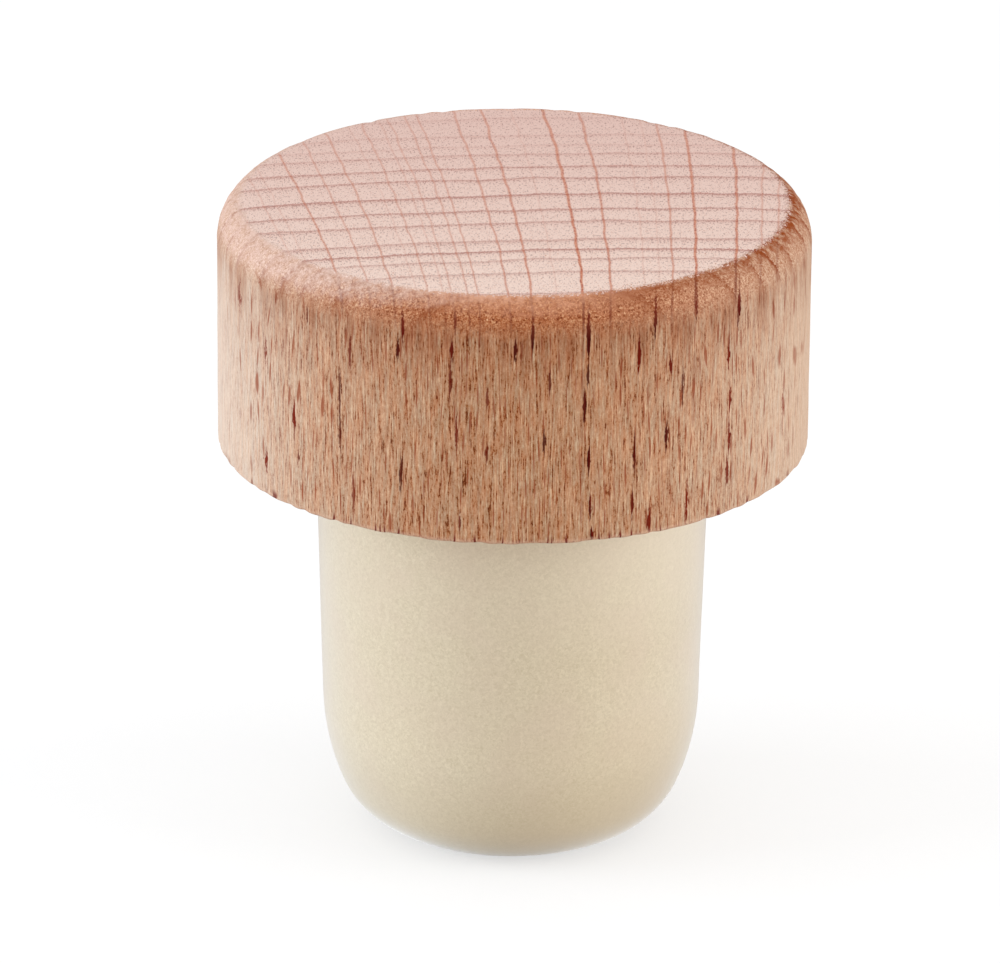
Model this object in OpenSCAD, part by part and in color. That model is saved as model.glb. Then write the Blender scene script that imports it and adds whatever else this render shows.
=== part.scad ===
// Bottle stopper: a turned beech head on a moulded synthetic-cork shank.
// It stands on the flat end of its shank, on z = 0. The axis of turning is +Z.

/* [Head] */
// Diameter of the turned head
head_d = 30; // [26:0.5:40]
// Height of the head, from the shank's shoulder to its flat top
head_h = 12.75; // [9:0.05:25]
// Radius of the arc that rounds the head's top edge
shoulder_r = 2.2; // [1:0.1:4]
// Degrees that this arc turns through; under 90 it meets the flat top at a low crease
shoulder_turn = 60; // [30:1:85]
// Radius of the head's lower edge, where the sharp corner is only broken
lower_edge_r = 0.25; // [0.1:0.05:1]

/* [Shank] */
// Diameter of the shank where it meets the head
shank_d = 20.1; // [17:0.1:24]
// Length of the shank below the head
shank_h = 20.85; // [16:0.05:30]
// Degrees of mould draft on each side of the shank
draft = 1.6; // [0.5:0.1:3]
// Height above the flat end at which the nose starts to round in
nose_h = 6.85; // [5:0.05:9]
// Radius of the wide upper arc of the nose
nose_r = 12.2; // [10:0.1:18]
// Radius of the tight lower arc of the nose, which runs into the flat end
tip_r = 4.1; // [2:0.1:5]

/* [Joint] */
// Diameter of the peg that is moulded on the shank and glued into the head
peg_d = 10; // [6:0.5:14]
// Length of the peg above the shoulder
peg_h = 6; // [3:0.5:7]
// Width of the chamfer on the peg's end
peg_chamfer = 0.6; // [0.2:0.1:1]
// Gap for glue all round the peg
glue_gap = 0.1; // [0.05:0.01:0.2]
// Depth left for glue beyond the peg's end
glue_well = 0.5; // [0.2:0.1:1]

/* [Hidden] */
$fn = 128;
// How far a chord may stand off the arc that it follows
chord_error = 0.003;
// How far the bore's cutter starts below the face that it opens
overrun = 1;

head_radius = head_d / 2;
shank_radius = shank_d / 2;
peg_radius = peg_d / 2;
peg_top = shank_h + peg_h;
head_top = shank_h + head_h;
bore_depth = peg_h + glue_well;

// Centre of the arc on the head's top edge, as [radius, height]
shoulder_centre = [head_radius - shoulder_r, head_top - shoulder_r * sin(shoulder_turn)];
// Centre of the small arc on the head's lower edge
lower_edge_centre = [head_radius - lower_edge_r, shank_h + lower_edge_r];

// The wide nose arc is tangent to the drafted wall where the wall ends.
wall_end = [shank_radius - (shank_h - nose_h) * tan(draft), nose_h];
nose_centre = wall_end + nose_r * [-cos(draft), sin(draft)];
// The tight arc is tangent to the wide one from inside and to the flat end on z = 0.
tip_rise = nose_centre.y - tip_r;
tip_run = sqrt(pow(nose_r - tip_r, 2) - pow(tip_rise, 2));
tip_centre = [nose_centre.x + tip_run, tip_r];
// Angle below the horizontal at which the two arcs meet
nose_meet = atan2(tip_rise, tip_run);

// Points along an arc, from one angle to another, in chords that stay within chord_error of it
function arc(centre, r, from, to) =
    let (chord_angle = 2 * acos(1 - chord_error / r))
    let (chords = ceil(abs(to - from) / chord_angle))
    [
        for (i = [0 : chords])
            let (angle = from + (to - from) * i / chords)
            centre + r * [cos(angle), sin(angle)]
    ];

// Half of the head's section: broken lower edge, straight side, rounded top edge, flat top
module head_section() {
    polygon(concat(
        [[0, shank_h]],
        arc(lower_edge_centre, lower_edge_r, -90, 0),
        arc(shoulder_centre, shoulder_r, 0, shoulder_turn),
        [[0, head_top]]
    ));
}

// Half of the shank's section: flat end, two-arc nose, drafted wall, shoulder and peg
module shank_section() {
    tight_arc = arc(tip_centre, tip_r, -90, -nose_meet);
    wide_arc = arc(nose_centre, nose_r, -nose_meet, -draft);
    polygon(concat(
        [[0, 0]],
        tight_arc,
        [for (i = [1 : len(wide_arc) - 1]) wide_arc[i]],
        [
            [shank_radius, shank_h],
            [peg_radius, shank_h],
            [peg_radius, peg_top - peg_chamfer],
            [peg_radius - peg_chamfer, peg_top],
            [0, peg_top]
        ]
    ));
}

// The turned head, with a flat-bottomed blind bore for the peg
module head() {
    color("#d0a488")
    difference() {
        rotate_extrude() head_section();
        translate([0, 0, shank_h - overrun])
            cylinder(r = peg_radius + glue_gap, h = bore_depth + overrun);
    }
}

// The shank, moulded in one with its peg
module shank() {
    color("#d8ccb0")
    rotate_extrude() shank_section();
}

head();
shank();
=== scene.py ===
"""A bottle stopper: a turned beech head glued on a moulded synthetic-cork shank."""
import math

import bpy
import numpy as np
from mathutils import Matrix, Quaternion, Vector


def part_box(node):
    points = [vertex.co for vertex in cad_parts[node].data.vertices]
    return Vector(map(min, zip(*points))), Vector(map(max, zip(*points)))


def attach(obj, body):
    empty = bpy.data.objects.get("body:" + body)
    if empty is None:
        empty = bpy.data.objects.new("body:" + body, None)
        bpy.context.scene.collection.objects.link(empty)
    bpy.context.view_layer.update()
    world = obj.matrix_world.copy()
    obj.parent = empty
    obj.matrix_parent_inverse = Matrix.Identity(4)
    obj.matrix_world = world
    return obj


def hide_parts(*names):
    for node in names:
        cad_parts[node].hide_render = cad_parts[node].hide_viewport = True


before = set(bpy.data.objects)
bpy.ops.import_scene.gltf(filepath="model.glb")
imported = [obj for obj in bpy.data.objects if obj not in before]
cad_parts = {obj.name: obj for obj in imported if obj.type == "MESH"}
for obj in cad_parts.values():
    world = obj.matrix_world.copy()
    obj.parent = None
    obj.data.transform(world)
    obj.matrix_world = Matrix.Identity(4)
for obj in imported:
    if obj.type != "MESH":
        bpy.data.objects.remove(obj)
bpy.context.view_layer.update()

scene = bpy.context.scene
MM = 0.001  # one millimetre in Blender's metres; lengths are in millimetres unless a comment says otherwise


# ---------------------------------------------------------------------------
# Camera, table and light: a long lens looking down a little on a white table,
# with soft light from both sides and a weak lamp low in front.
# ---------------------------------------------------------------------------

def sized(length_mm):
    """A length, or a point, given in millimetres, in metres."""
    return np.asarray(length_mm, float) * MM


def linear(hex_colour):
    """An sRGB hex colour such as "e6cabf" as linear red, green, blue and alpha."""
    parts = [int(hex_colour[i:i + 2], 16) / 255 for i in (0, 2, 4)]
    return [c / 12.92 if c <= 0.04045 else ((c + 0.055) / 1.055) ** 2.4 for c in parts] + [1.0]


def add(tree, kind, *inputs, out=0, stops=(), points=(), **settings):
    """Adds one node and returns one of its outputs. Inputs fill the sockets in order with numbers, hex
    colours or other nodes' outputs; None leaves a socket as it is, and a dict gives sockets by name.
    Settings are properties. Stops (position, hex colour) fill a Color Ramp, and points (input, value) draw
    a Float Curve with straight lines between them."""
    node = tree.nodes.new("ShaderNode" + kind)
    for name, value in settings.items():
        setattr(node, name, value)
    named = inputs[0] if inputs and isinstance(inputs[0], dict) else dict(enumerate(inputs))
    for socket, value in named.items():
        if isinstance(value, bpy.types.NodeSocket):
            tree.links.new(value, node.inputs[socket])
        elif value is not None:
            node.inputs[socket].default_value = linear(value) if isinstance(value, str) else value
    if stops:
        elements = node.color_ramp.elements
        while len(elements) < len(stops):
            elements.new(0.5)
        for element, (where, colour) in zip(elements, stops):
            element.position = where
            element.color = linear(colour)
    if points:
        node.mapping.extend = "HORIZONTAL"
        dots = node.mapping.curves[0].points
        while len(dots) < len(points):
            dots.new(0.5, 0.5)
        for dot, location in zip(dots, points):
            dot.location = location
            dot.handle_type = "VECTOR"
        node.mapping.update()
    return node.outputs[out]


def new_material(name):
    """An empty node material and its tree."""
    material = bpy.data.materials.new(name)
    material.use_nodes = True
    material.node_tree.nodes.clear()
    return material, material.node_tree


def finish(tree, shader, kind="Material"):
    """Links a shader to a new output node of its tree."""
    tree.links.new(shader, tree.nodes.new("ShaderNodeOutput" + kind).inputs["Surface"])


CAMERA_DISTANCE = 450.0      # from the lens to the middle of the head
CAMERA_ELEVATION = 21.12     # degrees above the table
CAMERA_ROLL = 0.451          # degrees
HEAD_MIDDLE = 22.85          # above the table, the height that the lens is measured from
AIM = (-0.63, -1.52, 18.92)  # the point at the middle of the frame
LENS = 318.93                # focal length
SENSOR = 36.0                # width
SIGHT = 20.0                 # m, as far as the camera sees

camera_data = bpy.data.cameras.new("camera")
camera_data.lens = LENS
camera_data.sensor_width = SENSOR
camera_data.clip_end = SIGHT
camera = bpy.data.objects.new("camera", camera_data)
elevation = math.radians(CAMERA_ELEVATION)
camera.location = sized([
    0,
    -CAMERA_DISTANCE * math.cos(elevation),
    HEAD_MIDDLE + CAMERA_DISTANCE * math.sin(elevation),
])
look = Vector(sized(AIM)) - camera.location
camera.rotation_mode = "QUATERNION"
camera.rotation_quaternion = (
    look.to_track_quat("-Z", "Y") @ Quaternion((0, 0, 1), math.radians(CAMERA_ROLL))
)
scene.collection.objects.link(camera)
scene.camera = camera
scene.view_settings.view_transform = "Standard"

FLOOR_SIZE = 4.0             # m
FLOOR_SHADE = 0.4            # share of the floor's look that takes light and shadow

floor_mesh = bpy.data.meshes.new("floor")
half = FLOOR_SIZE / 2
floor_mesh.from_pydata(
    [(-half, -half, 0), (half, -half, 0), (half, half, 0), (-half, half, 0)], [], [(0, 1, 2, 3)]
)
floor = bpy.data.objects.new("floor", floor_mesh)
scene.collection.objects.link(floor)

# White paper, matte. The camera sees most of it as plain white, and the rest keeps the stopper's soft shadow.
# The light that it throws back on the stopper is that of a greyer sheet.
paper, tree = new_material("white_table")
seen = add(tree, "LightPath", out="Is Camera Ray")
tint = add(tree, "MixRGB", seen, "bcbcbc", "ffffff")
lit = add(tree, "BsdfDiffuse", tint)
plain = add(tree, "Emission", "ffffff", 1.0)
share = add(tree, "Math", seen, 1 - FLOOR_SHADE, operation="MULTIPLY")
finish(tree, add(tree, "MixShader", share, lit, plain))
floor_mesh.materials.append(paper)

WORLD_LEVEL = 0.85           # light from all round, which the camera and gloss see as plain white

world = bpy.data.worlds.new("studio")
world.use_nodes = True
scene.world = world
tree = world.node_tree
tree.nodes.clear()
rays = add(tree, "LightPath").node.outputs
direct = add(tree, "Math", rays["Is Camera Ray"], rays["Is Glossy Ray"], operation="MAXIMUM")
level = add(tree, "MapRange", direct, 0, 1, WORLD_LEVEL, 1)
finish(tree, add(tree, "Background", "ffffff", level), "World")

LAMP_AIM = (0, 0, 18)        # the point in the stopper that every lamp faces


def soft_lamp(name, place, size, power, colour=(1, 1, 1)):
    """A square area lamp at a place in millimetres, with its size in millimetres and its power in watts."""
    data = bpy.data.lights.new(name, "AREA")
    data.color = colour
    data.shape = "SQUARE"
    data.size = size * MM
    data.energy = power
    lamp = bpy.data.objects.new(name, data)
    lamp.location = sized(place)
    facing = Vector(sized(LAMP_AIM)) - lamp.location
    lamp.rotation_euler = facing.to_track_quat("-Z", "Y").to_euler()
    scene.collection.objects.link(lamp)


soft_lamp("left_box", (-300, -40, 60), 200, 0.82, (0.9, 1.0, 1.12))
soft_lamp("right_box", (300, -60, 60), 200, 0.64)
soft_lamp("low_fill", (0, -400, 30), 120, 0.3)


# ---------------------------------------------------------------------------
# Shank: foamed synthetic cork, moulded in one with the peg that is glued into
# the head. A matte, faintly mottled skin with a blunt nose of two arcs.
# ---------------------------------------------------------------------------

def arc(centre, radius, start, end, count):
    """Points (r, z) on a circle: centre + radius * (cos a, sin a), with a from start to end degrees in count
    equal steps."""
    a = np.radians(np.linspace(start, end, count + 1))
    return np.asarray(centre) + radius * np.stack([np.cos(a), np.sin(a)], 1)


def line(start, end, count):
    """Points (r, z) on a straight line from start to end in count equal steps."""
    t = np.linspace(0, 1, count + 1)[:, None]
    return np.asarray(start) * (1 - t) + np.asarray(end) * t


def joined(*runs):
    """Runs of profile points end to end, each shared point kept once."""
    return np.concatenate([runs[0]] + [run[1:] for run in runs[1:]])


def ripple(seed, rows, columns, down, around):
    """Smooth noise from 0 to 1 on a grid that closes on itself: random values at down x around knots, and
    between knots (1 - f) a + f b with f = t t (3 - 2 t) in both directions."""
    knots = np.random.default_rng(seed).random((down + 1, around))
    v, u = np.linspace(0, down - 1e-6, rows), np.arange(columns) * around / columns
    i, j = v.astype(int), u.astype(int)
    fv, fu = (v - i)[:, None], u - j
    fv, fu = fv * fv * (3 - 2 * fv), fu * fu * (3 - 2 * fu)
    k = (j + 1) % around
    upper = knots[i][:, j] * (1 - fu) + knots[i][:, k] * fu
    lower = knots[i + 1][:, j] * (1 - fu) + knots[i + 1][:, k] * fu
    return upper * (1 - fv) + lower * fv


def turned_mesh(name, profile, columns, depth):
    """A closed skin turned round the Z axis from a profile of (r, z) in millimetres that starts and ends on
    it. Row i and column j is (r_i cos a_j, r_i sin a_j, z_i), with a_j = 2 pi j / columns and (r_i, z_i)
    moved inward along the profile's normal by depth_ij; the first and last profile points are poles, joined
    to their neighbours by fans of triangles."""
    a = np.arange(columns) * 2 * np.pi / columns
    along = profile[2:] - profile[:-2]
    inward = np.stack([-along[:, 1], along[:, 0]], 1) / np.linalg.norm(along, axis=1)[:, None]
    r, z = (profile[1:-1, None] + inward[:, None] * depth[..., None]).transpose(2, 0, 1)
    grid = np.stack([r * np.cos(a), r * np.sin(a), z], -1)
    rows = len(grid)
    poles = np.array([[0, 0, profile[0, 1]], [0, 0, profile[-1, 1]]])
    vertices = np.concatenate([grid.reshape(-1, 3), poles]) * MM
    j, k = np.arange(columns), (np.arange(columns) + 1) % columns
    i = np.arange(rows - 1)[:, None] * columns
    quads = np.stack([i + j, i + k, i + columns + k, i + columns + j], -1).reshape(-1, 4)
    first, last, end = rows * columns, rows * columns + 1, (rows - 1) * columns
    fans = np.concatenate([
        np.stack([k, j, np.full(columns, first)], -1),
        np.stack([end + j, end + k, np.full(columns, last)], -1),
    ])
    mesh = bpy.data.meshes.new(name)
    mesh.from_pydata(vertices.tolist(), [], quads.tolist() + fans.tolist())
    mesh.polygons.foreach_set("use_smooth", np.ones(len(mesh.polygons), bool))
    mesh.update()
    return mesh


def object_point(tree):
    """The point on Object coordinates in millimetres, and its x, y and z."""
    point = add(tree, "VectorMath", add(tree, "TexCoord", out="Object"), (1 / MM,) * 3, operation="MULTIPLY")
    return point, *add(tree, "SeparateXYZ", point).node.outputs


_, shank_high = (np.array(corner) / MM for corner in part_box("shank"))
head_low, head_high = (np.array(corner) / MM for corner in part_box("head"))
shoulder_z = head_low[2]     # where the shank meets the head
shank_radius = shank_high[0]
peg_top = shank_high[2]
DRAFT = 1.6                  # degrees on each side
NOSE_H = 6.85                # height at which the nose starts to round in
NOSE_R = 12.2                # wide arc of the nose
TIP_R = 4.1                  # tight arc of the nose
PEG_RADIUS = 5.0
PEG_CHAMFER = 0.6

# The wide arc runs on from the drafted wall, and the tight arc from the wide one into the flat end, each
# tangent to the next.
draft = math.radians(DRAFT)
wall_end = np.array([shank_radius - (shoulder_z - NOSE_H) * math.tan(draft), NOSE_H])
nose_centre = wall_end + NOSE_R * np.array([-math.cos(draft), math.sin(draft)])
tip_rise = nose_centre[1] - TIP_R
tip_run = math.sqrt((NOSE_R - TIP_R) ** 2 - tip_rise ** 2)
tip_centre = np.array([nose_centre[0] + tip_run, TIP_R])
nose_meet = math.degrees(math.atan2(tip_rise, tip_run))

shank_profile = joined(
    line((0, 0), (tip_centre[0], 0), 12),
    arc(tip_centre, TIP_R, -90, -nose_meet, 24),
    arc(nose_centre, NOSE_R, -nose_meet, -DRAFT, 20),
    line(wall_end, (shank_radius, shoulder_z), 56),
    line((shank_radius, shoulder_z), (PEG_RADIUS, shoulder_z), 10),
    line((PEG_RADIUS, shoulder_z), (PEG_RADIUS, peg_top - PEG_CHAMFER), 10),
    line((PEG_RADIUS, peg_top - PEG_CHAMFER), (PEG_RADIUS - PEG_CHAMFER, peg_top), 2),
    line((PEG_RADIUS - PEG_CHAMFER, peg_top), (0, peg_top), 6),
)

# Foamed polymer with a closed skin from the mould: dull, with a soft pale edge, and cells that just show
# through it as a mottle. It is painted paler below the head, more so on the right, as light that fills the
# head's shade, and painted darker and browner at the nose, more so on the lower right, as shade.
FOAM_CELLS = 6.0             # in a mm, a few times coarser than real ones, or they would not be seen
FOAM_CLOUDS = 0.35           # in a mm: slow changes of tone, about 3 mm across

foam, tree = new_material("synthetic_cork_foam")
spot, x, _, z = object_point(tree)
cells = add(tree, "TexNoise", {
    "Vector": spot, "Scale": FOAM_CELLS, "Detail": 2.0, "Roughness": 0.7, "Distortion": 1.0,
})
clouds = add(tree, "TexNoise", {"Vector": spot, "Scale": FOAM_CLOUDS, "Detail": 2.0})
skin = add(tree, "MixRGB", add(tree, "MapRange", cells, 0.3, 0.7, 0, 1), "c1b092", "d5c6aa")
skin = add(tree, "MixRGB", add(tree, "MapRange", clouds, 0.4, 0.7, 0, 0.3), skin, "cbb49e")
# Painted light: paler just below the head, more so on the right, filling the shade that the head casts.
painted_light_below_head = add(tree, "Math", add(tree, "MapRange", z, 12, 20, 0, 1),
               add(tree, "MapRange", x, -2, 8, 0.1, 0.6), operation="MULTIPLY")
skin = add(tree, "MixRGB", painted_light_below_head, skin, "e8dcc6")
# Painted shade: darker and browner towards the nose, and more so on the lower right.
skin = add(tree, "MixRGB", add(tree, "MapRange", z, 6, 0, 0, 0.6), skin, "b8a276")
painted_shade_lower_right = add(tree, "Math", add(tree, "MapRange", x, -2, 8, 0, 0.5),
                 add(tree, "MapRange", z, 9, 3, 0, 1), operation="MULTIPLY")
skin = add(tree, "MixRGB", painted_shade_lower_right, skin, "b8a07a")
finish(tree, add(tree, "BsdfPrincipled", {
    "Base Color": skin,
    "Roughness": 0.8,
    "Specular IOR Level": 0.2,
    "Sheen Weight": 1.0,
    "Sheen Roughness": 0.5,
}))

SKIN_WAVES = 0.02            # depth of the moulded skin's slow unevenness
SKIN_GRAIN = 0.006           # depth of its fine roughness
SKIN_FADE = 0.3              # both fade out over this height, at the flat end and below the head

columns = 512
rows = len(shank_profile) - 2
height = shank_profile[1:-1, 1][:, None]
bare = np.clip((shoulder_z - SKIN_FADE - height) / SKIN_FADE, 0, 1) * np.clip(height / SKIN_FADE, 0, 1)
depth = bare * (
    SKIN_WAVES * ripple(1, rows, columns, 8, 18)
    + SKIN_GRAIN * ripple(2, rows, columns, 60, 180)
)
shank = bpy.data.objects.new("cork_shank", turned_mesh("cork_shank", shank_profile, columns, depth))
scene.collection.objects.link(shank)
shank.data.materials.append(foam)
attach(shank, "root")
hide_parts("shank")


# ---------------------------------------------------------------------------
# Head: one piece of beech, turned with the grain along the axis, drilled and
# glued over the shank's peg. Its top edge is rounded, its lower edge only
# broken.
# ---------------------------------------------------------------------------

head_radius = head_high[0]
head_top = head_high[2]
SHOULDER_R = 2.2             # arc of the rounded top edge
SHOULDER_TURN = 60           # degrees it turns before it meets the flat top at a crease
LOWER_EDGE_R = 0.25
BORE_RADIUS = 5.1
BORE_DEPTH = 6.5
CREASE = 0.1                 # width of the row of faces that keeps a crease sharp

shoulder_start = head_top - SHOULDER_R * math.sin(math.radians(SHOULDER_TURN))
shoulder_centre = (head_radius - SHOULDER_R, shoulder_start)
lower_centre = (head_radius - LOWER_EDGE_R, shoulder_z + LOWER_EDGE_R)
flat_radius = shoulder_centre[0] + SHOULDER_R * math.cos(math.radians(SHOULDER_TURN))
bore_top = shoulder_z + BORE_DEPTH

head_profile = joined(
    line((0, bore_top), (BORE_RADIUS, bore_top), 3),
    line((BORE_RADIUS, bore_top), (BORE_RADIUS, shoulder_z), 3),
    line((BORE_RADIUS, shoulder_z), (lower_centre[0] - CREASE, shoulder_z), 8),
    line((lower_centre[0] - CREASE, shoulder_z), (lower_centre[0], shoulder_z), 1),
    arc(lower_centre, LOWER_EDGE_R, -90, 0, 5),
    line((head_radius, lower_centre[1]), (head_radius, shoulder_start), 50),
    arc(shoulder_centre, SHOULDER_R, 0, SHOULDER_TURN, 20),
    line((flat_radius, head_top), (flat_radius - CREASE, head_top), 1),
    line((flat_radius - CREASE, head_top), (0, head_top), 16),
)

# Years of growth, counted away from the pith: where each ring ends, from the head's axis, and how dark it is.
PITH = (10, -104)
RINGS = [
    (-15.5, 0.4), (-12.9, 0.5), (-10.0, 0.5), (-8.2, 0.5), (-6.9, 0.9), (-5.4, 0.5), (-2.8, 0.6), (-1.0, 0.7),
    (1.2, 0.8), (3.7, 0.6), (5.4, 0.6), (7.3, 0.4), (8.6, 0.2), (10.2, 0.25), (12.8, 0.2), (15.5, 0.3),
]
# Broad rays, which fan out from the pith: where each crosses the head's middle, and how dark it is.
RAYS = [
    (-15.6, 0.3), (-14.2, 0.3), (-12.8, 0.35), (-12.2, 0.25), (-10.7, 0.7), (-9.2, 0.5), (-7.9, 0.6),
    (-6.6, 0.25), (-6.0, 0.5), (-5.1, 0.3), (-4.7, 0.45), (-3.8, 0.5), (-3.3, 0.55), (-1.5, 0.65),
    (-0.2, 0.8), (1.2, 0.2), (2.7, 1.0), (4.3, 0.8), (6.2, 0.25), (7.0, 0.2), (7.7, 0.65), (9.0, 0.95),
    (11.2, 0.9), (12.5, 0.5), (13.3, 0.5), (15.0, 0.4),
]
# The flecks that the broad rays make on the front of the turned side: ray position, height of the middle,
# half height and darkness.
FLECKS = [
    (-15.1, 30.6, 0.6, 0.6), (-14.2, 28.4, 0.6, 0.6), (-14.2, 22.8, 0.5, 0.8), (-13.0, 25.7, 0.8, 0.8),
    (-12.8, 23.7, 0.4, 0.6), (-12.4, 31.4, 0.3, 0.6), (-10.8, 27.8, 1.0, 0.6), (-10.8, 25.8, 0.6, 0.6),
    (-10.3, 30.1, 0.6, 0.6), (-10.1, 22.7, 0.9, 0.5), (-7.5, 31.9, 0.6, 1.0), (-7.8, 30.7, 0.5, 0.8),
    (-7.6, 24.3, 0.7, 0.6), (-4.6, 32.5, 0.4, 0.6), (-4.8, 31.0, 0.4, 0.8), (-4.9, 29.4, 0.9, 0.6),
    (-4.5, 26.6, 0.8, 0.7), (-4.3, 22.0, 0.4, 0.6), (-2.8, 28.5, 0.4, 0.5), (-2.8, 25.7, 0.4, 0.6),
    (-1.2, 31.2, 0.4, 0.8), (-0.2, 31.8, 0.7, 0.8), (0.8, 29.6, 0.5, 0.6), (0.5, 26.3, 0.5, 0.7),
    (3.0, 31.8, 1.0, 1.0), (3.0, 29.8, 0.5, 0.7), (2.8, 28.1, 0.6, 0.8), (3.1, 25.2, 0.6, 0.9),
    (3.2, 22.7, 0.5, 0.8), (3.3, 21.3, 0.3, 0.9), (5.9, 30.5, 0.8, 0.9), (5.7, 25.3, 0.7, 0.9),
    (5.6, 22.7, 0.6, 0.8), (6.8, 32.2, 0.8, 1.0), (6.6, 21.6, 0.6, 0.8), (7.7, 29.7, 0.4, 0.8),
    (7.5, 25.9, 0.6, 0.8), (8.4, 28.3, 0.8, 0.5), (8.7, 22.1, 0.9, 0.8), (9.1, 32.4, 0.5, 0.8),
    (11.4, 31.7, 0.9, 0.9), (10.9, 29.4, 0.6, 0.8), (11.0, 26.9, 0.7, 0.8), (11.0, 24.9, 0.7, 0.8),
    (10.9, 23.1, 0.6, 0.7), (13.8, 25.0, 0.9, 0.5),
]

# Beech, turned and sanded but not varnished: dull. The flat top is end grain, pale pink with grey-red rings
# and orange rays, painted lighter at the front and darker at the back. The side is long grain, tan at the
# front and back, where the rings lie in the surface, and paler on the flanks, partly its own colour and
# partly painted sheen, with dark flecks where rays come out. On the rounded edge the cutter tears the fibres,
# so it is rough and orange-brown, painted paler on the left and browner on the right as light and shade.
#
# How many cells the grain's patterns have in a millimetre, across, towards the pith and along the axis.
WAVES = (0.35, 0.35, 0.06)       # slow waves in the rings and rays, 3 mm wide and 17 mm long
WOBBLE = 3.0                     # small unevenness in every line, 0.3 mm
PORES = (10, 4.5, 10)            # 0.1 to 0.2 mm, a few times coarser than real, or they would not be seen
LONG_FIBRES = (13, 13, 0.8)      # 0.08 mm wide and 1.3 mm long, drawn coarser for the same reason
SHORT_FIBRES = (13, 13, 4)       # the same, 0.25 mm long
STREAKS = (1.6, 1.6, 0.12)       # bands of tone, 0.6 mm wide and 8 mm long
TINGE = (5, 5, 0.6)              # fibres that lean to orange or to a greyer beige, 0.2 mm wide
SPECKLE = 14.0                   # fine speckle, 0.07 mm, coarser than real too
CURL = 10.0                      # ends of torn fibres, 0.1 mm
FINE_RAYS = 3.6                  # narrow rays between the broad ones, 0.3 mm apart

beech, tree = new_material("turned_beech")
spot, x, y, z = object_point(tree)
radius = add(tree, "VectorMath", add(tree, "CombineXYZ", x, y, 0), operation="LENGTH", out="Value")
# 1 at the front and back, where the surface lies along the rings, and 0 on the flanks, where it cuts them.
tangential = add(tree, "Math", add(tree, "Math", y, radius, operation="DIVIDE"), operation="ABSOLUTE")

slow = add(tree, "TexNoise", {
    "Vector": add(tree, "VectorMath", spot, WAVES, operation="MULTIPLY"), "Scale": 1.0, "Detail": 2.0,
}, out="Color")
wave = add(tree, "VectorMath", slow, (0.5, 0.5, 0.5), operation="SUBTRACT")
wave_x, wave_y, _ = add(tree, "SeparateXYZ", wave).node.outputs
wobble = add(tree, "TexNoise", {"Vector": spot, "Scale": WOBBLE, "Detail": 2.0})
pores = add(tree, "TexNoise", {
    "Vector": add(tree, "VectorMath", spot, PORES, operation="MULTIPLY"),
    "Scale": 1.0, "Detail": 1.0, "Roughness": 0.6,
})
rough = add(tree, "Math", pores, 0.5, operation="SUBTRACT")
long_fibres, short_fibres, streaks = (
    add(tree, "TexNoise", {
        "Vector": add(tree, "VectorMath", spot, per_mm, operation="MULTIPLY"), "Scale": 1.0, "Detail": 1.0,
    })
    for per_mm in (LONG_FIBRES, SHORT_FIBRES, STREAKS)
)
fibres = add(tree, "Math", short_fibres, 0.55, -0.2, operation="MULTIPLY_ADD")
fibres = add(tree, "Math", long_fibres, 0.85, fibres, operation="MULTIPLY_ADD")
tinge = add(tree, "TexNoise", {
    "Vector": add(tree, "VectorMath", spot, TINGE, operation="MULTIPLY"), "Scale": 1.0, "Detail": 2.0,
})
speckle = add(tree, "TexNoise", {"Vector": spot, "Scale": SPECKLE, "Detail": 2.0, "Roughness": 0.7})
curl = add(tree, "TexNoise", {
    "Vector": spot, "Scale": CURL, "Detail": 2.0, "Roughness": 0.6, "Distortion": 1.0,
})

# Rings: distance from the pith less that of the axis, turned into a count of years by a curve. The curves
# cover positions up to REACH on both sides, and hold widths as shares of WIDEST.
REACH = 16.0
WIDEST = 8

from_pith = add(tree, "CombineXYZ", add(tree, "Math", x, PITH[0], operation="SUBTRACT"),
                add(tree, "Math", y, PITH[1], operation="SUBTRACT"), 0)
growth = add(tree, "VectorMath", from_pith, operation="LENGTH", out="Value")
growth = add(tree, "Math", wave_y, 0.7, growth, operation="MULTIPLY_ADD")
growth = add(tree, "Math", wobble, 0.2, growth, operation="MULTIPLY_ADD")
growth = add(tree, "Math", rough, 0.5, growth, operation="MULTIPLY_ADD")
growth = add(tree, "Math", growth, 0.1, operation="SUBTRACT")
place = add(tree, "MapRange", growth, -PITH[1] - REACH, -PITH[1] + REACH, 0, 1)
last = len(RINGS) - 1
ends = [0.5 + position / (2 * REACH) for position, _ in RINGS]
darks = [darkness for _, darkness in RINGS]
widths = [(b - a) / WIDEST for (a, _), (b, _) in zip(RINGS, RINGS[1:])]
years = add(tree, "FloatCurve", 1, place, points=[(end, i / last) for i, end in enumerate(ends)])
ring_strength = add(tree, "FloatCurve", 1, place, points=list(zip(ends, darks)))
ring_width = add(tree, "FloatCurve", 1, place, points=list(zip(ends[1:], widths)))
season = add(tree, "Math", add(tree, "Math", years, last, operation="MULTIPLY"), operation="FRACT")
to_ring = add(tree, "Math", 1, season, operation="SUBTRACT")
to_ring = add(tree, "Math", to_ring, ring_width, operation="MULTIPLY")
to_ring = add(tree, "Math", to_ring, WIDEST, operation="MULTIPLY")

# Rays: position where the line from the pith crosses the head's middle, counted by a curve in the same way,
# and the distance from the nearest ray. The rays bend to one side by BEND times y squared.
BEND = 0.0015

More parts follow.
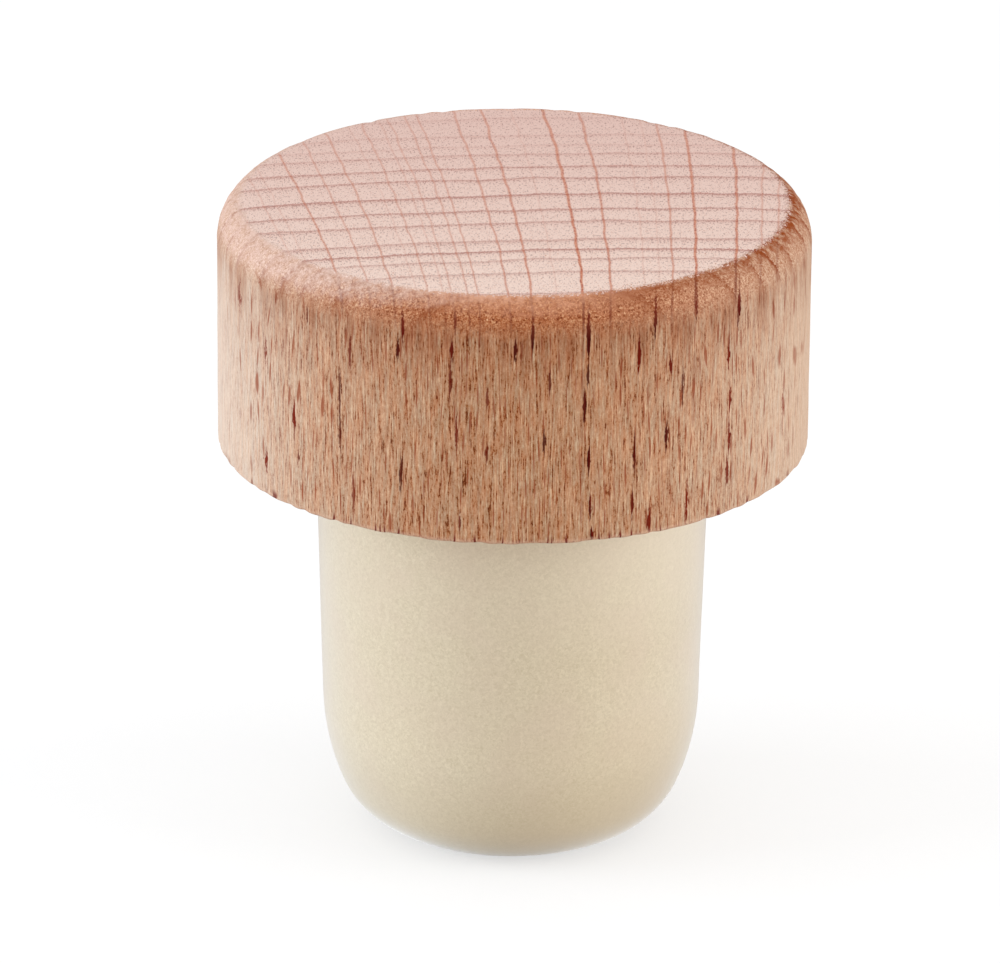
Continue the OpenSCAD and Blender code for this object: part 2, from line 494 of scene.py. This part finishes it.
bend = add(tree, "Math", add(tree, "Math", y, y, operation="MULTIPLY"), BEND, x, operation="MULTIPLY_ADD")
bend = add(tree, "Math", bend, PITH[0], operation="SUBTRACT")
spread = add(tree, "Math", y, PITH[1] + 1, operation="SUBTRACT")
spread = add(tree, "Math", -PITH[1] - 1, spread, operation="DIVIDE")
across = add(tree, "Math", bend, spread, PITH[0], operation="MULTIPLY_ADD")
across_wavy = add(tree, "Math", wave_x, 0.35, across, operation="MULTIPLY_ADD")
place = add(tree, "MapRange", across_wavy, -REACH, REACH, 0, 1)
last = len(RAYS) - 1
count = add(tree, "FloatCurve", 1, place,
            points=[(0.5 + position / (2 * REACH), i / last) for i, (position, _) in enumerate(RAYS)])
count = add(tree, "Math", count, last, operation="MULTIPLY")
ray = add(tree, "Math", count, operation="ROUND")
place = add(tree, "Math", ray, last, operation="DIVIDE")
ray_strength = add(tree, "FloatCurve", 1, place,
                   points=[(i / last, darkness) for i, (_, darkness) in enumerate(RAYS)])
gaps = [RAYS[min(i + 1, last)][0] - RAYS[max(i - 1, 0)][0] for i in range(len(RAYS))]
gap = add(tree, "FloatCurve", 1, place, points=[(i / last, wide / WIDEST) for i, wide in enumerate(gaps)])
gap = add(tree, "Math", gap, WIDEST / 2, operation="MULTIPLY")
off_ray = add(tree, "Math", add(tree, "Math", count, ray, operation="SUBTRACT"), operation="ABSOLUTE")
off_ray = add(tree, "Math", off_ray, gap, operation="MULTIPLY")

# Side: long grain, in one ramp of colour for the front and back and a paler one for the flanks, partly the
# wood's own colour and partly painted sheen; towards their edges the flanks are painted whiter still, most on
# the left, where the light falls. Its fibres vary from orange to a greyer beige.
mixed = add(tree, "Math", streaks, 0.1, add(tree, "Math", fibres, 0.65, operation="MULTIPLY"),
            operation="MULTIPLY_ADD")
mixed = add(tree, "Math", speckle, 0.25, mixed, operation="MULTIPLY_ADD")
front_grain = add(tree, "ValToRGB", mixed, stops=[
    (0.34, "62260c"), (0.39, "92542e"), (0.44, "b17f5d"), (0.55, "bb8f71"), (0.68, "d4b090"),
])
flank_grain = add(tree, "ValToRGB", mixed, stops=[
    (0.33, "8e5c44"), (0.39, "ac806a"), (0.45, "bc9a84"), (0.54, "c6aa94"), (0.66, "d6bca8"),
])
# Painted sheen: the flanks whiten towards their edges, most on the left, where the light falls.
painted_sheen = add(tree, "MixRGB", add(tree, "MapRange", x, -8, 12, 0, 1), "e8d9cd", "d8bfab")
flank_grain = add(tree, "MixRGB", add(tree, "MapRange", tangential, 0.8, 0.1, 0, 0.5), flank_grain, painted_sheen)
side = add(tree, "MixRGB", add(tree, "MapRange", tangential, 0.5, 1, 0, 1), flank_grain, front_grain)
tint = add(tree, "MixRGB", add(tree, "MapRange", tinge, 0.35, 0.65, 0, 1), "fff4e9", "f4fbfb")
tint = add(tree, "MixRGB", add(tree, "MapRange", tangential, 0.3, 0.8, 0.6, 0), tint, "faf8f4")
side = add(tree, "MixRGB", 1, side, tint, blend_type="MULTIPLY")


def off_lenses(tree, z, row, off_row, rate, stagger, rarity, widest):
    """Distance from lens-shaped marks that follow one another up the numbered rows of a pattern, less than 0
    inside them. Row n is cut into cells by c = rate z + stagger noise(n). With t the fraction of c, its mark
    reaches w t (1 - t) to each side, where w goes from 0 to widest as noise(n, floor(c)) goes from rarity
    to 1."""
    noise = add(tree, "TexWhiteNoise", None, row, noise_dimensions="1D")
    cell = add(tree, "Math", noise, stagger, operation="MULTIPLY")
    cell = add(tree, "Math", z, rate, cell, operation="MULTIPLY_ADD")
    t = add(tree, "Math", cell, operation="FRACT")
    lens = add(tree, "Math", t, add(tree, "Math", 1, t, operation="SUBTRACT"), operation="MULTIPLY")
    number = add(tree, "CombineXYZ", row, add(tree, "Math", cell, operation="FLOOR"), 0)
    chance = add(tree, "TexWhiteNoise", number, noise_dimensions="2D")
    lens = add(tree, "Math", lens, add(tree, "MapRange", chance, rarity, 1, 0, widest), operation="MULTIPLY")
    return add(tree, "Math", off_row, lens, operation="SUBTRACT")


# Many narrow rays between the broad ones, as short dashes.
fine = add(tree, "Math", across, FINE_RAYS, operation="MULTIPLY")
fine = add(tree, "Math", wave_x, 6, fine, operation="MULTIPLY_ADD")
fine_ray = add(tree, "Math", fine, operation="FLOOR")
off_fine = add(tree, "Math", add(tree, "Math", fine, operation="FRACT"), 0.5, operation="SUBTRACT")
off_fine = add(tree, "Math", off_fine, operation="ABSOLUTE")
dashes = off_lenses(tree, z, fine_ray, off_fine, 0.7, 23, 0.4, 0.9)
dashes = add(tree, "MapRange", dashes, 0.02, -0.1, 0, 0.8)
dashes = add(tree, "Math", dashes, add(tree, "MapRange", tangential, 0.1, 0.5, 0.3, 1), operation="MULTIPLY")
side = add(tree, "MixRGB", dashes, side, "8c4428")

# Flecks in front, each of them a diamond: |v - v0| / half width + |z - z0| / half height is below 1. The
# fibres make their sides ragged, and they are narrower on the flanks, where a ray comes out at a slant.
FLECK_WIDTH = 0.068          # half width of the faintest
FLECK_WIDENING = 0.08        # what the darkest has more
FLECK_NARROWEST = 0.35       # share of its width that one keeps on the flanks
FLECK_STRETCH = 2            # the ends fade, so a diamond is drawn taller than it shows
FLECK_GAIN = 3               # how fast it darkens inward
FLECK_RAGGED = 0.25          # how far the fibres shift its sides

fleck_across = add(tree, "Math", wobble, 0.1, across, operation="MULTIPLY_ADD")
fleck_across = add(tree, "Math", fleck_across, 0.05, operation="SUBTRACT")
ragged = add(tree, "Math", fibres, 0.5, operation="SUBTRACT")
fleck_across = add(tree, "Math", ragged, FLECK_RAGGED, fleck_across, operation="MULTIPLY_ADD")
fleck_point = add(tree, "CombineXYZ", fleck_across, z, 0)
flecks = 0
for fleck_v, fleck_z, half_height, darkness in FLECKS:
    slant = max(FLECK_NARROWEST, math.sqrt(1 - (fleck_v / REACH) ** 2))
    half_width = (FLECK_WIDTH + FLECK_WIDENING * darkness) * slant
    half_height = FLECK_STRETCH * half_height
    scale = (1 / half_width, 1 / half_height, 0)
    shift = (-fleck_v / half_width, -fleck_z / half_height, 0)
    inside = add(tree, "VectorMath", fleck_point, scale, shift, operation="MULTIPLY_ADD")
    inside = add(tree, "VectorMath", inside, operation="ABSOLUTE")
    inside = add(tree, "VectorMath", inside, (1, 1, 0), operation="DOT_PRODUCT", out="Value")
    inside = add(tree, "Math", inside, -FLECK_GAIN, FLECK_GAIN, operation="MULTIPLY_ADD")
    inside = add(tree, "Math", inside, 0.5 + 0.6 * darkness, operation="MINIMUM")
    flecks = add(tree, "Math", flecks, inside, operation="MAXIMUM")
flecks = add(tree, "Math", flecks, 1, operation="MINIMUM")
flecks = add(tree, "Math", flecks, add(tree, "MapRange", y, 0, -1, 0, 1), operation="MULTIPLY")

# Chains of other flecks all round: strong at the back, weaker in front, faint on the flanks.
square_on = add(tree, "MapRange", tangential, 0.15, 0.65, 0.05, 1)
chains = off_lenses(tree, z, ray, off_ray, 0.45, 17, 0.3, 0.7)
chains = add(tree, "MapRange", chains, 0, -0.06, 0, 0.7)
chains = add(tree, "Math", chains, ray_strength, operation="MULTIPLY")
chains = add(tree, "Math", chains, add(tree, "MapRange", y, -3, 3, 0.35, 1), operation="MULTIPLY")
chains = add(tree, "Math", chains, square_on, operation="MULTIPLY")
marks = add(tree, "Math", flecks, chains, operation="MAXIMUM")
mark_colour = add(tree, "ValToRGB", tangential, stops=[(0.3, "8e3e2c"), (0.65, "541008"), (1.0, "440802")])
rust = add(tree, "MapRange", streaks, 0.4, 0.55, 0, 0.5)
mark_colour = add(tree, "MixRGB", rust, mark_colour, "842006")
side = add(tree, "MixRGB", marks, side, mark_colour)

# Lower edge: pale, partly where it is broken and partly as painted light that fills the shade under the edge,
# with a dark tick at some of the narrow rays.
TICK_RARITY = 0.78           # share of the narrow rays that have none

broken_rim_and_painted_light = add(tree, "MapRange", z, shoulder_z + 0.35, shoulder_z + 0.1, 0, 0.45)
side = add(tree, "MixRGB", broken_rim_and_painted_light, side, "dcb49c")
ticks = add(tree, "Math", add(tree, "MapRange", z, shoulder_z + 0.6, shoulder_z + 0.3, 0, 0.9),
            add(tree, "MapRange", off_fine, 0.2, 0.12, 0, 1), operation="MULTIPLY")
chosen = add(tree, "TexWhiteNoise", None, fine_ray, noise_dimensions="1D")
chosen = add(tree, "Math", chosen, TICK_RARITY, operation="GREATER_THAN")
ticks = add(tree, "Math", ticks, chosen, operation="MULTIPLY")
ticks = add(tree, "Math", ticks, square_on, operation="MULTIPLY")
side = add(tree, "MixRGB", ticks, side, "6a1a14")

# Top: end grain. Each year darkens towards its end, gains pores and ends in a thin line.
latewood = add(tree, "Math", add(tree, "MapRange", to_ring, 1.1, 0.1, 0, 1), 2, operation="POWER")
latewood = add(tree, "Math", latewood, ring_strength, operation="MULTIPLY")
ring_line = add(tree, "MapRange", to_ring, 0.42, 0.1, 0, 0.42)
ring_line = add(tree, "Math", ring_line, ring_strength, operation="MULTIPLY")
broken = add(tree, "MapRange", pores, 0.62, 0.38, 0.4, 1.3)
ring_line = add(tree, "Math", ring_line, broken, operation="MULTIPLY")
ground_front = add(tree, "ValToRGB", pores, stops=[
    (0.26, "c69886"), (0.35, "e4c6b8"), (0.44, "ebd1c4"), (0.58, "efd6c9"), (0.72, "f5e2d6"),
])
ground_back = add(tree, "ValToRGB", pores, stops=[
    (0.26, "cda89c"), (0.35, "dab8ad"), (0.44, "dfbeb3"), (0.58, "e1c2b7"), (0.72, "e5cac0"),
])
# Painted light: the top is lighter at the front and darker and pinker at the back, as light falls more on the
# front; the back also has less contrast.
end_grain = add(tree, "MixRGB", add(tree, "MapRange", y, -12, 12, 0, 1), ground_front, ground_back)
end_grain = add(tree, "MixRGB", add(tree, "Math", latewood, 0.22, operation="MULTIPLY"), end_grain, "b06c60")
dots = add(tree, "Math", latewood, 0.16, pores, operation="MULTIPLY_ADD")
dots = add(tree, "Math", add(tree, "MapRange", dots, 0.56, 0.66, 0, 1), 0.5, operation="MULTIPLY")
end_grain = add(tree, "MixRGB", dots, end_grain, "7a2c20")
end_grain = add(tree, "MixRGB", ring_line, end_grain, "9c4032")
half_ray = add(tree, "Math", ray_strength, 0.05, 0.03, operation="MULTIPLY_ADD")
ray_line = add(tree, "Math", rough, 0.12, off_ray, operation="MULTIPLY_ADD")
ray_line = add(tree, "Math", ray_line, half_ray, operation="SUBTRACT")
ray_line = add(tree, "MapRange", ray_line, 0.03, -0.04, 0, 0.85)
ray_line = add(tree, "Math", ray_line, ray_strength, operation="MULTIPLY")
ray_colour = add(tree, "ValToRGB", pores, stops=[(0.35, "9a3c1c"), (0.5, "c0643c"), (0.65, "d89470")])
far_ray = add(tree, "Math", ray_line, add(tree, "MapRange", y, -10, 12, 1, 0.7), operation="MULTIPLY")
end_grain = add(tree, "MixRGB", far_ray, end_grain, ray_colour)

# Rounded edge: torn end grain, darker and more orange, with the rings as scallops and the rays as cracks.
torn_front = add(tree, "ValToRGB", curl, stops=[
    (0.3, "5a1e0a"), (0.42, "904a28"), (0.52, "aa6642"), (0.62, "be845c"), (0.75, "d6a880"),
])
torn_flank = add(tree, "ValToRGB", curl, stops=[
    (0.3, "8a5636"), (0.42, "b08468"), (0.52, "c29c82"), (0.62, "d2b096"), (0.75, "e2c8b0"),
])
torn = add(tree, "MixRGB", add(tree, "MapRange", tangential, 0.5, 1, 0, 1), torn_flank, torn_front)
torn = add(tree, "MixRGB", add(tree, "Math", latewood, 0.8, operation="MULTIPLY"), torn, "8c4c28")
torn = add(tree, "MixRGB", add(tree, "MapRange", ring_line, 0.05, 0.3, 0, 0.8), torn, "7c3414")
cracks = add(tree, "Math", flecks, ray_line, operation="MAXIMUM")
torn = add(tree, "MixRGB", add(tree, "Math", cracks, 0.9, operation="MULTIPLY"), torn, "641c10")

# It is painted pale and soft towards the left, where the light falls, and browner to the right, away from the
# light, as painted shade; a painted highlight makes it light along the middle of the crease.
rise = add(tree, "MapRange", z, shoulder_start, head_top, 0, 1)
rise = add(tree, "Math", wobble, 0.3, rise, operation="MULTIPLY_ADD")
rise = add(tree, "Math", rise, 0.15, operation="SUBTRACT")
patch = add(tree, "MapRange", wobble, 0.35, 0.6, 0.6, 1.1)
# Painted light: paler towards the left of the rounded edge.
painted_light_left = add(tree, "Math", add(tree, "MapRange", x, 1, -14, 0, 1), 0.9, rise, operation="MULTIPLY_ADD")
painted_light_left = add(tree, "Math", painted_light_left, 0.95, operation="SUBTRACT")
painted_light_left = add(tree, "MapRange", painted_light_left, 0, 0.5, 0, 0.85)
painted_light_left = add(tree, "Math", painted_light_left, patch, operation="MULTIPLY", use_clamp=True)
painted_light_colour = add(tree, "ValToRGB", curl, stops=[(0.3, "ba9684"), (0.5, "d0ae9e"), (0.7, "dec2b4")])
torn = add(tree, "MixRGB", painted_light_left, torn, painted_light_colour)
# Painted shade: browner on the right of the rounded edge and of its crease, away from the light.
painted_shade_crease = add(tree, "Math", add(tree, "MapRange", rise, 0.65, 1, 0, 0.5),
                   add(tree, "MapRange", x, 2, 6, 0, 1), operation="MULTIPLY")
painted_shade_right = add(tree, "Math", rise, add(tree, "MapRange", x, 10, 15, 0, 0.45), operation="MULTIPLY")
painted_shade_right = add(tree, "Math", painted_shade_right, painted_shade_crease, operation="ADD")
painted_shade_right = add(tree, "Math", add(tree, "MapRange", wobble, 0.35, 0.6, 0.4, 1.4), painted_shade_right, operation="MULTIPLY",
            use_clamp=True)
torn = add(tree, "MixRGB", painted_shade_right, torn, "8a4018")
# Painted highlight: lighter along the middle of the crease.
middle = add(tree, "Math", add(tree, "Math", x, 0.5, operation="SUBTRACT"), operation="ABSOLUTE")
painted_crease_highlight = add(tree, "Math", add(tree, "MapRange", rise, 0.5, 1, 0, 0.6), patch, operation="MULTIPLY")
painted_crease_highlight = add(tree, "Math", painted_crease_highlight, add(tree, "MapRange", middle, 2.5, 6.5, 1, 0), operation="MULTIPLY")
torn = add(tree, "MixRGB", painted_crease_highlight, torn, "dca484")

# Together: the side darkens below the rounded edge, and the end grain starts at a chipped crease.
edge = add(tree, "Math", wobble, 0.5, z, operation="MULTIPLY_ADD")
over = add(tree, "MapRange", edge, shoulder_start + 0.1, shoulder_start + 1.2, 0, 1)
under = add(tree, "MapRange", edge, shoulder_z, shoulder_start, 0, 1)
under = add(tree, "Math", under, 5, operation="POWER")
under = add(tree, "Math", under, add(tree, "MapRange", streaks, 0.4, 0.6, 0.15, 0.6), operation="MULTIPLY")
chipped = add(tree, "Math", curl, 0.5, operation="SUBTRACT")
chipped = add(tree, "Math", chipped, 1.6, radius, operation="MULTIPLY_ADD")
flat = add(tree, "Math", add(tree, "MapRange", chipped, flat_radius - 0.02, flat_radius - 0.12, 0, 1),
           add(tree, "MapRange", z, head_top - 0.12, head_top - 0.06, 0, 1), operation="MULTIPLY")
colour = add(tree, "MixRGB", under, side, "b4784e", blend_type="MULTIPLY")
colour = add(tree, "MixRGB", over, colour, torn)
colour = add(tree, "MixRGB", flat, colour, end_grain)

FIBRE_HEIGHT = 0.03          # how far a fibre stands out in the bump

relief = add(tree, "Bump", {"Strength": 0.6, "Distance": FIBRE_HEIGHT * MM, "Height": fibres})
finish(tree, add(tree, "BsdfPrincipled", {
    "Base Color": colour,
    "Roughness": 0.8,
    "Specular IOR Level": 0.06,
    "Normal": relief,
}))

FIBRE_RELIEF = 0.015         # depth of the upright grooves left by the chisel along the fibres
TORN_RELIEF = 0.04           # depth of the torn fibres on the rounded edge
CREASE_NICKS = 0.07          # depth where the end grain breaks off at the crease
LOWER_NICKS = 0.09           # depth where the fibres break off at the lower edge

columns = 900
rows = len(head_profile) - 2
r, z_row = head_profile[1:-1, 0][:, None], head_profile[1:-1, 1][:, None]
outer = np.clip((r - lower_centre[0] + 0.15) / 0.1, 0, 1)
on_round = np.clip((z_row - shoulder_start) / 0.3, 0, 1) * (z_row < head_top - 1e-6)
at_crease = np.clip(1 - np.hypot(r - flat_radius, z_row - head_top) / 0.2, 0, 1)
at_lower = np.clip(1 - (z_row - shoulder_z) / 0.35, 0, 1) * outer
on_side = outer * (z_row < shoulder_start) * (1 - at_lower)
depth = (
    FIBRE_RELIEF * on_side * ripple(3, rows, columns, 16, 300)
    + TORN_RELIEF * on_round * ripple(4, rows, columns, 50, 260)
    + CREASE_NICKS * at_crease * ripple(5, rows, columns, 1, 150) ** 2
    + LOWER_NICKS * at_lower * ripple(6, rows, columns, 1, 180) ** 2
)
head = bpy.data.objects.new("beech_head", turned_mesh("beech_head", head_profile, columns, depth))
scene.collection.objects.link(head)
head.data.materials.append(beech)
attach(head, "root")
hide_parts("head")
